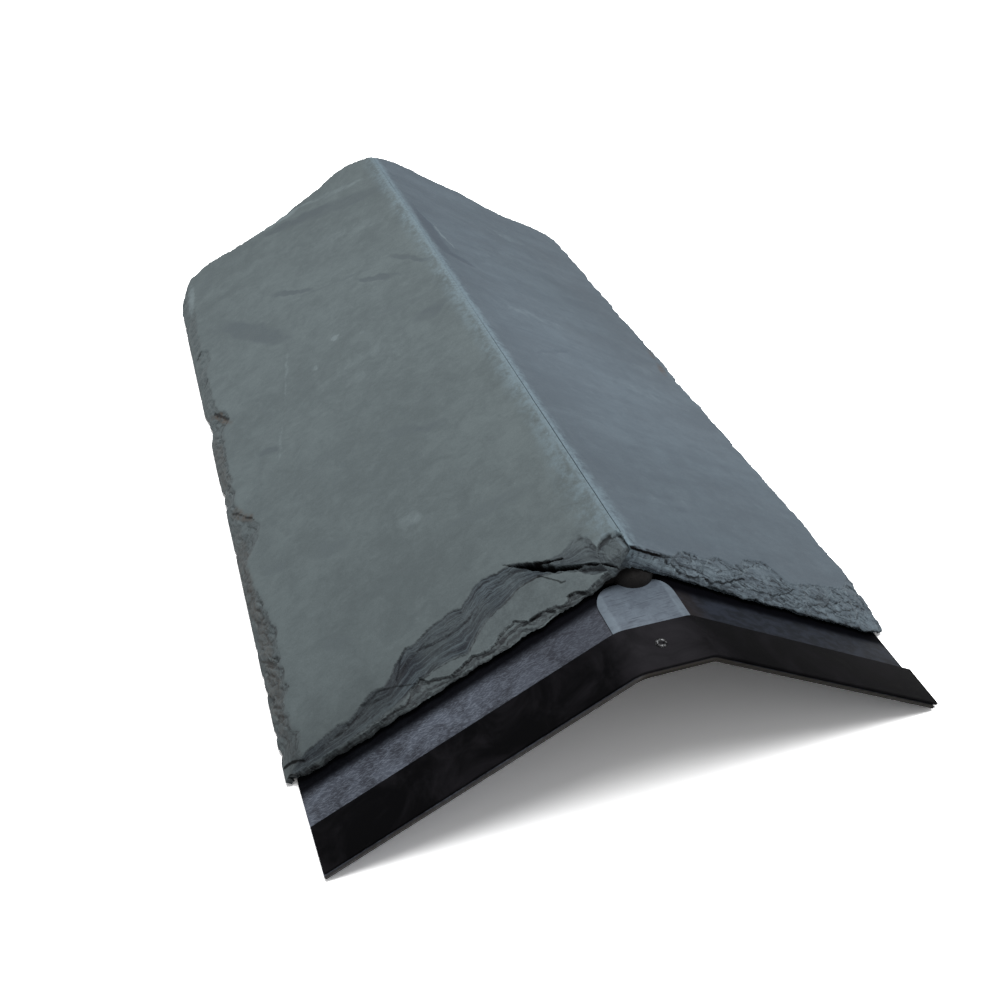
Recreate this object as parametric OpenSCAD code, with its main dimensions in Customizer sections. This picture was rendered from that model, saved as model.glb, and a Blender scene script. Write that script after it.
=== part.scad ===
/* [Slates] */
// Length of each slate along the ridge, at its outer edge
slate_length = 472; // [300:1:600]
// Width of each slate down the slope, from the ridge line to the outer lower edge
slate_width = 175; // [140:1:260]
// Thickness of each slate
slate_thickness = 9.5; // [6:0.5:14]
// Pitch of each wing below the horizontal
pitch = 30; // [20:1:45]
// How far the back edges are hollowed, between the ridge and the outer corners
back_dip = 10; // [0:1:20]
// Width of the worn arris on each side of the ridge joint
arris_width = 3.5; // [1:0.5:6]

/* [Dressed edges] */
// Number of cleavage layers that show in the edges of a slate
laminae = 6; // [3:1:8]
// Run of the dressed bevel along the left outer edge, between its flake scars
left_side_bevel = 9; // [3:0.5:16]
// Run of the dressed bevel along the right outer edge
right_side_bevel = 6; // [3:0.5:16]
// Run of the dressed bevel along the back edges
back_bevel = 3; // [2:0.5:14]
// Run of the left front bevel, between its flake scars
left_front_bevel = 3; // [2:0.5:20]
// Run of the right front bevel, between its flake scars
right_front_bevel = 4; // [2:0.5:20]
// Size of the outer corner broken off at the left slate's back
outer_clip = 18; // [4:1:24]
// Size of the corners broken off at the ridge's back end
ridge_clip = 12; // [4:1:24]
// Depth of the small bites that the dressing tool leaves
bite = 1.6; // [0.4:0.1:3]
// Distance between those bites
bite_pitch = 6; // [4:1:20]

/* [Tray] */
// Thickness of the tray's sheet
sheet = 1.5; // [0.8:0.1:2]
// Width of the flat top, between the lines where its plane meets the wings' planes
flat_width = 32; // [24:1:50]
// Slope width of the tray's wings under the slates
tray_wing = 151; // [100:1:151]
// Radius of the left bend, at the upper face
left_bend_radius = 14; // [3:0.5:20]
// Radius of the right bend, at the upper face
right_bend_radius = 6; // [3:0.5:20]
// Reach of the tongue in front of the slates
tongue_reach = 46; // [35:1:80]
// How much narrower each wing of the tongue is at its front
tongue_taper = 2; // [0:0.5:8]
// Distance from the slates' back edges to the back of the tray
back_lap = 52; // [20:1:90]

/* [Bond, plate, strip and rivet] */
// Thickness of the adhesive between the tray's wings and the slates
bed_thickness = 0.8; // [0.5:0.1:3]
// How far the adhesive stays back from the slates' front and outer edges
bed_setback = 6; // [2:1:20]
// Thickness of the joint plate
plate_thickness = 0.6; // [0.4:0.1:1]
// Width of the joint plate
plate_width = 35; // [20:1:35.5]
// Radius of the plate's rear corners
plate_corner = 11; // [2:0.5:12]
// Gap from the plate's front end to the tongue's front edge
plate_front_gap = 1.5; // [0.5:0.5:6]
// How far the plate reaches behind the slates' front
plate_lap = 4; // [1:0.5:5]
// Radius of the adhesive lobe that was squeezed out over the plate
lobe_radius = 9.5; // [7:0.5:10]
// How far the middle of that lobe lies behind the slates' front
lobe_setback = 9; // [6:0.5:9.5]
// How far the middle of that lobe lies to the right of the ridge
lobe_offset = 4; // [0:0.5:6]
// Thickness of the rubber strip
strip_thickness = 1.5; // [1:0.1:3]
// Width of the rubber strip
strip_width = 23; // [16:1:32]
// Distance from the tongue's front edge to the strip
strip_setback = 1.2; // [0:0.1:3]
// How far the strip overhangs the tongue's right side
strip_overhang = 3.5; // [0:0.5:5]
// Diameter of the rivet's head
rivet_head = 5.2; // [5:0.1:9]
// Diameter of the rivet's shank
rivet_shank = 3.2; // [2.4:0.1:4]
// Diameter of the rivet's open centre
rivet_bore = 1.8; // [1:0.1:2]
// Distance from the tongue's front edge to the rivet
rivet_inset = 13; // [8:0.5:16]
// How far the rivet sits to the left of the tongue's middle
rivet_offset = 2; // [0:0.5:6]

/* [Hidden] */

// heights above the level that the slates' outer lower edges rest on
apex_under = slate_width * sin(pitch);
flat_top = apex_under - flat_width / 2 * tan(pitch) - bed_thickness / cos(pitch);

// places along the ridge: the whole tile is centred on the origin
total_length = tongue_reach + slate_length;
tongue_front = -total_length / 2;
slate_front = tongue_front + tongue_reach;
tray_back = slate_front + slate_length - back_lap;
strip_front = tongue_front + strip_setback;
rivet_y = tongue_front + rivet_inset;

// the bends of tray, plate and strip share one centre on each side
bend_steps = 5;

lamina = slate_thickness / laminae;
mitre_run = slate_thickness * tan(pitch);
rivet_head_rise = 1.1;
rivet_tail_drop = 1.6;

// ---- folded sheets ----

// half of a line across the tray at a lift over its upper face: round the bend, then down the wing to the
// given slope distance from the fold line
function half_line(radius, lift, reach) = let (
    flat = radius * tan(pitch / 2),
    centre = [flat_width / 2 - flat, flat_top - radius],
    r = radius + lift)
    concat([for (i = [0 : bend_steps]) let (a = pitch * i / bend_steps) centre + r * [sin(a), cos(a)]],
           [centre + r * [sin(pitch), cos(pitch)] + (reach - flat) * [cos(pitch), -sin(pitch)]]);

function reversed(line) = [for (i = [len(line) - 1 : -1 : 0]) line[i]];

function fold_line(lift, left, right) = concat(
    [for (p = reversed(half_line(left_bend_radius, lift, left))) [-p[0], p[1]]],
    half_line(right_bend_radius, lift, right));

// sheet between two heights over the tray's upper face, from y0 to y1
module folded_sheet(low, high, left, right, y0, y1) {
    translate([0, y1, 0]) rotate([90, 0, 0]) linear_extrude(y1 - y0)
        polygon(concat(fold_line(high, left, right), reversed(fold_line(low, left, right))));
}

// places children on a wing's plane: x down the slope from the fold line, z square to the upper face
module on_wing(side) {
    mirror([side < 0 ? 1 : 0, 0, 0])
        translate([flat_width / 2, 0, flat_top]) rotate([0, pitch, 0]) children();
}

// what is cut away beside the tapered tongue, extra past its edge
module beside_tongue(side, extra = 0) {
    turn = atan(tongue_taper / tongue_reach);
    on_wing(side) translate([tray_wing - tongue_taper + extra, tongue_front, 0]) rotate([0, 0, -turn])
        translate([0, -tongue_reach, -20]) cube([60, 2 * tongue_reach, 40]);
}

module ridge_tray() {
    color("#3c424b") difference() {
        folded_sheet(-sheet, 0, tray_wing, tray_wing, tongue_front, tray_back);
        beside_tongue(-1);
        beside_tongue(1);
        rivet_hole();
    }
}

module plate_blank(low, high) {
    intersection() {
        folded_sheet(low, high, plate_width, plate_width,
                     tongue_front + plate_front_gap, slate_front + plate_lap);
        translate([-plate_width / 2, -total_length, 0]) cube([plate_width, 2 * total_length, 200]);
    }
}

module joint_plate() {
    half = plate_width / 2;
    color("#7e868c") difference() {
        intersection() {
            plate_blank(0, plate_thickness);
            translate([0, 0, flat_top - 10]) linear_extrude(20) {
                translate([-half, tongue_front])
                    square([plate_width, tongue_reach + plate_lap - plate_corner]);
                translate([plate_corner - half, tongue_front])
                    square([plate_width - 2 * plate_corner, tongue_reach + plate_lap]);
                for (x = [plate_corner - half, half - plate_corner])
                    translate([x, slate_front + plate_lap - plate_corner]) circle(plate_corner, $fn = 48);
            }
        }
        rivet_hole();
    }
}

module seal_strip() {
    color("#222226") difference() {
        folded_sheet(0, strip_thickness, tray_wing, tray_wing + 2 * strip_overhang,
                     strip_front, strip_front + strip_width);
        beside_tongue(-1);
        beside_tongue(1, strip_overhang);
        plate_blank(-1, plate_thickness);
        rivet_hole();
    }
}

// ---- rivet ----

module rivet_hole() {
    translate([-rivet_offset, rivet_y, flat_top - 10]) cylinder(h = 20, d = rivet_shank, $fn = 32);
}

// hollow blind rivet: domed head over the strip, upset tail under the tray
module rivet() {
    head_z = flat_top + strip_thickness;
    tail_z = flat_top - sheet;
    rim = (rivet_head - rivet_bore) / 2;
    color("#8d9195") translate([-rivet_offset, rivet_y, 0]) rotate_extrude($fn = 48)
        polygon([[rivet_bore / 2, tail_z - rivet_tail_drop],
                 [rivet_shank / 2 + 0.5, tail_z - rivet_tail_drop],
                 [rivet_shank / 2 + 0.9, tail_z - rivet_tail_drop / 2],
                 [rivet_shank / 2 + 0.7, tail_z],
                 [rivet_shank / 2, tail_z],
                 [rivet_shank / 2, head_z],
                 [rivet_head / 2, head_z],
                 [rivet_head / 2 - rim * 0.1, head_z + rivet_head_rise * 0.5],
                 [rivet_head / 2 - rim * 0.35, head_z + rivet_head_rise * 0.9],
                 [rivet_head / 2 - rim * 0.6, head_z + rivet_head_rise],
                 [rivet_bore / 2 + rim * 0.15, head_z + rivet_head_rise * 0.85],
                 [rivet_bore / 2, head_z + rivet_head_rise * 0.5]]);
}

// ---- adhesive ----

// fills the space between the tray and the slates' lower faces
module bond(left, right, y0, y1) {
    ends = fold_line(bed_thickness, left, right);
    translate([0, y1, 0]) rotate([90, 0, 0]) linear_extrude(y1 - y0)
        polygon(concat([ends[0], [0, apex_under], ends[len(ends) - 1]],
                       reversed(fold_line(0, left, right))));
}

module adhesive_bed() {
    reach = tray_wing - bed_setback;
    bed_front = slate_front + bed_setback;
    color("#2b2622") difference() {
        intersection() {
            bond(reach, reach, slate_front - lobe_radius, tray_back - bed_setback);
            union() {
                translate([-slate_width, bed_front, 0]) cube([2 * slate_width, slate_length, 2 * apex_under]);
                translate([lobe_offset, slate_front + lobe_setback, flat_top])
                    sphere(lobe_radius, $fn = 48);
            }
        }
        plate_blank(-1, plate_thickness);
    }
}

// ---- slates ----

// depth that flake scars add over place s, as u goes from 0 at the lower face to 1 at the riven face; each
// scar is [middle, half width, depth, floor]: it leaves the layers under its floor whole, and a floor below 0
// cuts even the lowest one
function scar(scars, s, u) = max([0, for (c = scars)
    let (rise = (u - c[3]) / (1 - c[3]), x = (s - c[0]) / (c[1] * (0.6 + 0.4 * u)))
    rise > 0 && abs(x) < 1 ? c[2] * sqrt(rise * (1 - x * x)) : 0]);

// ragged line of waste depth along an edge: points [place, depth]
function ragged(from, to, bevel, scars, u, seed) = let (
    steps = ceil((to - from) / bite_pitch),
    chance = rands(0, 1, steps + 1, seed + round(100 * u)))
    [for (i = [0 : steps]) let (s = from + (to - from) * i / steps)
        [s, bevel * u + scar(scars, s, u) + bite * chance[i] * (i % 3 == 0 ? 0 : 1)]];

// hollow of the back edge over place s; dip is [middle, half width], both as shares of the slate's width
function hollow(s, dip) = let (x = (s / slate_width - dip[0]) / dip[1])
    abs(x) < 1 ? back_dip * pow(cos(90 * x), 2) : 0;

// outline of one cleavage layer at share u of the thickness
module lamina_outline(u, seed, front, side, clip, dip, front_scars, side_scars) {
    far = 40;
    inner = -mitre_run - 1;
    difference() {
        translate([inner, 0]) square([slate_width - inner, slate_length]);
        // front edge
        polygon(concat([[slate_width + far, -far], [inner - far, -far], [inner - far, 0]],
                       ragged(inner - 1, slate_width + 1, front, front_scars, u, seed),
                       [[slate_width + far, 0]]));
        // outer edge
        polygon(concat([[slate_width + far, -far]],
                       [for (p = ragged(-1, slate_length + 1, side, side_scars, u, seed + 1))
                        [slate_width - p[1], p[0]]],
                       [[slate_width + far, slate_length + far]]));
        // back edge
        polygon(concat([[slate_width + far, slate_length + far], [inner - far, slate_length + far]],
                       [for (p = ragged(inner - 1, slate_width + 1, back_bevel, [], u, seed + 2))
                        [p[0], slate_length - p[1] - hollow(p[0], dip)]]));
        // outer corner broken off at the back
        translate([slate_width - side * u, slate_length - back_bevel * u]) rotate(35)
            translate([-clip * (0.6 + 0.2 * u), -far]) square(2 * far);
        // corner broken off at the ridge's back end
        translate([0, slate_length - back_bevel * u]) rotate(125)
            translate([-ridge_clip * (0.6 + 0.2 * u), -far]) square(2 * far);
    }
}

// right-hand slate in its place; the left one is its mirror with its own edges
module slate(seed, front, side, clip, dip, front_scars, side_scars) {
    ridge_top = apex_under + slate_thickness / cos(pitch);
    difference() {
        translate([0, slate_front, apex_under]) rotate([0, pitch, 0])
            for (k = [0 : laminae - 1])
                translate([0, 0, k * lamina - (k > 0 ? lamina / 2 : 0)])
                    linear_extrude(lamina * (k > 0 ? 1.5 : 1))
                        lamina_outline(k / (laminae - 1), seed, front, side, clip, dip, front_scars,
                                       side_scars);
        // mitre on the ridge plane
        translate([-50, -total_length, -10]) cube([50, 2 * total_length, 200]);
        // worn arris
        translate([arris_width * cos(pitch), -total_length, ridge_top - arris_width * sin(pitch)])
            rotate([0, pitch / 2, 0]) translate([-30, 0, 0]) cube([60, 2 * total_length, 30]);
    }
}

module left_slate() {
    // a wide stepped scar over a smooth ledge, a small fan by the ridge, and a stepped outer corner
    front_scars = [[slate_width * 0.38, 60, 32, 0.35], [13, 10, 19, 0.7], [slate_width * 0.7, 16, 12, 0.1],
                   [slate_width, 14, 10, -0.1], [0, 12, 8, -0.5]];
    side_scars = [[20, 50, 6, 0.3], [slate_length / 3, 20, 7, 0.3], [slate_length * 0.58, 12, 5, 0.5],
                  [slate_length * 0.76, 34, 5, 0.2]];
    dip = [0.53, 0.42];
    color("#697070") mirror([1, 0, 0])
        slate(11, left_front_bevel, left_side_bevel, outer_clip, dip, front_scars, side_scars);
}

module right_slate() {
    // a scalloped edge that is whole by the ridge, and a worn outer corner
    front_scars = [[0, slate_width * 0.7, 4, -4], [slate_width * 0.25, 24, 10, 0],
                   [slate_width * 0.47, 20, 19, 0.1], [slate_width * 0.64, 16, 11, 0],
                   [slate_width * 0.85, 28, 20, 0], [slate_width, 12, 22, -0.05]];
    side_scars = [[0, 38, 9, 0.1], [slate_length * 0.5, 30, 3, 0.3]];
    dip = [0.62, 0.24];
    color("#68717b")
        slate(31, right_front_bevel, right_side_bevel, outer_clip / 4, dip, front_scars, side_scars);
}

left_slate();
right_slate();
ridge_tray();
adhesive_bed();
joint_plate();
seal_strip();
rivet();
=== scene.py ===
import bpy
import bmesh
from math import cos, floor, pi, radians, sin, sqrt, tan
from mathutils import Matrix, Vector, noise


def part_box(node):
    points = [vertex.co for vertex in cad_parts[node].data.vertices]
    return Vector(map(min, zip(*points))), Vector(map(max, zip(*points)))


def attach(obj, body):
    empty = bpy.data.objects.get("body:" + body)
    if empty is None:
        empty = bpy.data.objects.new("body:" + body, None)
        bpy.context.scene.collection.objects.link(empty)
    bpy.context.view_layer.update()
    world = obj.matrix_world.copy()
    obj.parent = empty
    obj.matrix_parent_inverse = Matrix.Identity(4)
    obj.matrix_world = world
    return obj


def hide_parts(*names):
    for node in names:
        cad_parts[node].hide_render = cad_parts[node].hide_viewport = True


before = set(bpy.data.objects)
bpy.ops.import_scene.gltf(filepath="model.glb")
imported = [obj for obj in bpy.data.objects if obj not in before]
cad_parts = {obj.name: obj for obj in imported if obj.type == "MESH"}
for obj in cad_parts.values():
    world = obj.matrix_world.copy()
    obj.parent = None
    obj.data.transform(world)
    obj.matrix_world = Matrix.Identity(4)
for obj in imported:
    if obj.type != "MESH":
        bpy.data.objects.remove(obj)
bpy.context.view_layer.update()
print("frame loaded")

mm = 0.001

# the tile as the frame has it, in millimetres and degrees
tile = {
    "pitch": 30,  # slope of each wing
    "slateWidth": 175,  # ridge line to outer edge, down the slope
    "slateThick": 9.5,
    "sheet": 1.5,  # tray metal
    "flatWidth": 32,  # tray top, between its folds
    "trayWing": 151,  # tray wing, down the slope
    "leftBend": 14,  # radius of each bend, at the tray's upper face
    "rightBend": 6,
    "tongueReach": 46,
    "tongueTaper": 2,
    "bedThick": 0.8,
}
pitch = radians(tile["pitch"])
thick = tile["slateThick"]
width = tile["slateWidth"]
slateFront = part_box("left_slate")[0].y / mm
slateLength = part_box("left_slate")[1].y / mm - slateFront
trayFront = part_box("ridge_tray")[0].y / mm
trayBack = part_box("ridge_tray")[1].y / mm
apexUnder = width * sin(pitch)
flatTop = apexUnder - tile["flatWidth"] / 2 * tan(pitch) - tile["bedThick"] / cos(pitch)


# small helpers for shapes

def clamp(value, low=0.0, high=1.0):
    return max(low, min(high, value))


def ease(value):
    value = clamp(value)
    return value * value * (3 - 2 * value)


def along(points, place):
    # value on a line of (place, value) points
    for (p0, v0), (p1, v1) in zip(points, points[1:]):
        if place <= p1:
            return v0 + (v1 - v0) * clamp((place - p0) / (p1 - p0))
    return points[-1][1]


def wavy(a, b, size, seed):
    # smooth noise, about -1 to 1, with waves of this size
    return noise.noise(Vector((a / size, b / size, seed * 3.7 + 0.5)))


def swung(a, b, degrees):
    # distances along and across a line that lies at this angle
    c, k = cos(radians(degrees)), sin(radians(degrees))
    return a * c + b * k, b * c - a * k


def stepped(height, step, crisp):
    # turns a slope into treads and risers
    count = height / step
    tread = floor(count)
    return (tread + clamp((count - tread - 0.5) / (1 - crisp) + 0.5)) * step


def addObject(name, content):
    made = bpy.data.objects.new(name, content)
    bpy.context.scene.collection.objects.link(made)
    return made


def addMesh(bm, name):
    mesh = bpy.data.meshes.new(name)
    bm.to_mesh(mesh)
    bm.free()
    return addObject(name, mesh)


def finish(bm, name, material, node, sharp):
    # bmesh to a finished piece that rides on the tile
    bmesh.ops.recalc_face_normals(bm, faces=bm.faces[:])
    piece = addMesh(bm, name)
    mesh = piece.data
    mesh.shade_smooth()
    mesh.set_sharp_from_angle(angle=radians(sharp))
    mesh.materials.append(material)
    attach(piece, "root")
    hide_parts(node)
    print(name, len(mesh.polygons), "faces")


# small helpers for materials: what they take is sockets, numbers or colours, and they return a socket

def addNode(tree, kind, **settings):
    made = tree.nodes.new("ShaderNode" + kind)
    for key, value in settings.items():
        setattr(made, key, value)
    return made


def isSocket(value):
    return isinstance(value, bpy.types.NodeSocket)


def feed(target, value):
    if isSocket(value):
        target.id_data.links.new(value, target)
    else:
        target.default_value = value


def wired(kind, inputs, output=0, **settings):
    # new node in the tree of the sockets that feed it, with its inputs by number or name
    made = addNode(next(v.id_data for v in inputs.values() if isSocket(v)), kind, **settings)
    for key, value in inputs.items():
        feed(made.inputs[key], value)
    return made.outputs[output]


def maths(kind, a, b=0.0):
    return wired("Math", {0: a, 1: b}, operation=kind)


def plus(a, b):
    return maths("ADD", a, b)


def minus(a, b):
    return maths("SUBTRACT", a, b)


def times(a, b):
    return maths("MULTIPLY", a, b)


def absolute(a):
    return maths("ABSOLUTE", a)


def blend(shares, parts):
    # weighted sum
    total = times(parts[0], shares[0])
    for share, part in zip(shares[1:], parts[1:]):
        total = plus(total, times(part, share))
    return total


def remap(value, low, high, outLow=0.0, outHigh=1.0):
    # low to high becomes outLow to outHigh, eased at both ends and held beyond them
    inputs = dict(enumerate((value, low, high, outLow, outHigh)))
    return wired("MapRange", inputs, interpolation_type="SMOOTHSTEP")


def mixColour(share, a, b, kind="MIX"):
    return wired("Mix", {0: share, 6: a, 7: b}, 2, data_type="RGBA", blend_type=kind)


def coats(colour, looks, *layers):
    # lays named colours over it, each by its share
    for share, key in layers:
        colour = mixColour(share, colour, looks[key])
    return colour


def turned(vector, rotation=(0, 0, 0), scale=(1, 1, 1), location=(0, 0, 0)):
    return wired("Mapping", {"Vector": vector, "Rotation": rotation, "Scale": scale, "Location": location})


def axesOf(vector):
    # its x, y and z
    return wired("SeparateXYZ", {0: vector}).node.outputs


def noisy(vector, scale, detail, rough, distortion=0.0):
    # scale is in waves to the metre
    return wired("TexNoise", {"Vector": vector, "Scale": scale, "Detail": detail, "Roughness": rough,
                              "Distortion": distortion})


def bumped(height, strength, distance, **normal):
    return wired("Bump", {"Strength": strength, "Distance": distance, "Height": height, **normal})


def startMaterial(name, roughness, specular, metallic=0.0):
    # a new material, the inputs of its shader, and the place on the piece
    made = bpy.data.materials.new(name)
    made.use_nodes = True
    inputs = made.node_tree.nodes["Principled BSDF"].inputs
    feed(inputs["Roughness"], roughness)
    feed(inputs["Specular IOR Level"], specular)
    feed(inputs["Metallic"], metallic)
    return made, inputs, addNode(made.node_tree, "TexCoord").outputs["Object"]


# slate, riven on its face and splintered on its dressed edges. places on it are in millimetres: s down the
# slope from the ridge, y from the slates' front and the height over its lower face

slates = {  # what both slates share
    # noises of the rock: waves to the metre, detail, roughness and distortion
    "clouds": (13, 4, 0.6, 0.5), "blotches": (85, 5, 0.68, 0.7), "streaks": (150, 5, 0.68, 0.7),
    "fibres": (560, 3, 0.65, 0.3), "grain": (1500, 2, 0.6), "wisps": (55, 4, 0.6, 0.8),
    "pits": (380, 4, 0.75, 0.6), "flakes": (330, 5, 0.68, 0.4), "crumbs": (950, 3, 0.6, 0.2),
    # the stepped scars between their contour lines, the dark splits, painted shade in hollows and under
    # steps, painted highlight on crests, brown stains and the rubbed ridge
    "scarPale": (0.072, 0.094, 0.108, 1), "scarDark": (0.015, 0.02, 0.028, 1), "scarLines": 15,
    "creviceAndShade": (0.006, 0.0066, 0.0088, 1), "cleft": (0.003, 0.0028, 0.003, 1),
    "hollowShadeShare": 0.6, "crestHighlightShare": 0.4, "grainShare": 0.26,
    "rust": (0.078, 0.052, 0.037, 1), "arris": (0.16, 0.218, 0.252, 1),
    "seamLevel": 0.9,  # height of the right slate's dark cleft, in centimetres
    "roughness": 0.74, "specular": 0.25,
    "faceRelief": (0.32, 0.0009), "edgeRelief": (0.6, 0.0008),  # strength and depth in metres
    # what the mesh tells the material
    "layers": ("broken", "steep", "hollow", "level", "scar", "flow", "dark", "crestHighlight", "seam", "tone",
        "toneAndLight", "rust"),
    "cell": 1.8,  # grid before the borders are made finer
    "fineBack": 22,  # how far in from the back edge it is finer
    "wallRings": 4,
    "spread": (40, 25, 90),  # how far in the front, outer and back edges pull the grid when they are cut away
    "backRun": 2.6,  # slope of the back edge
    "clipSlope": 1.45,
    "rivenWave": 0.55,  # relief of the riven face
    "arrisWidth": 3.5,
    "jointGap": 0.22,  # half the dark line between the slates, at the top
    "tightShare": 0.3, "tightFrom": 260, "tightOver": 160,  # how the joint tightens towards the back
}

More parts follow.
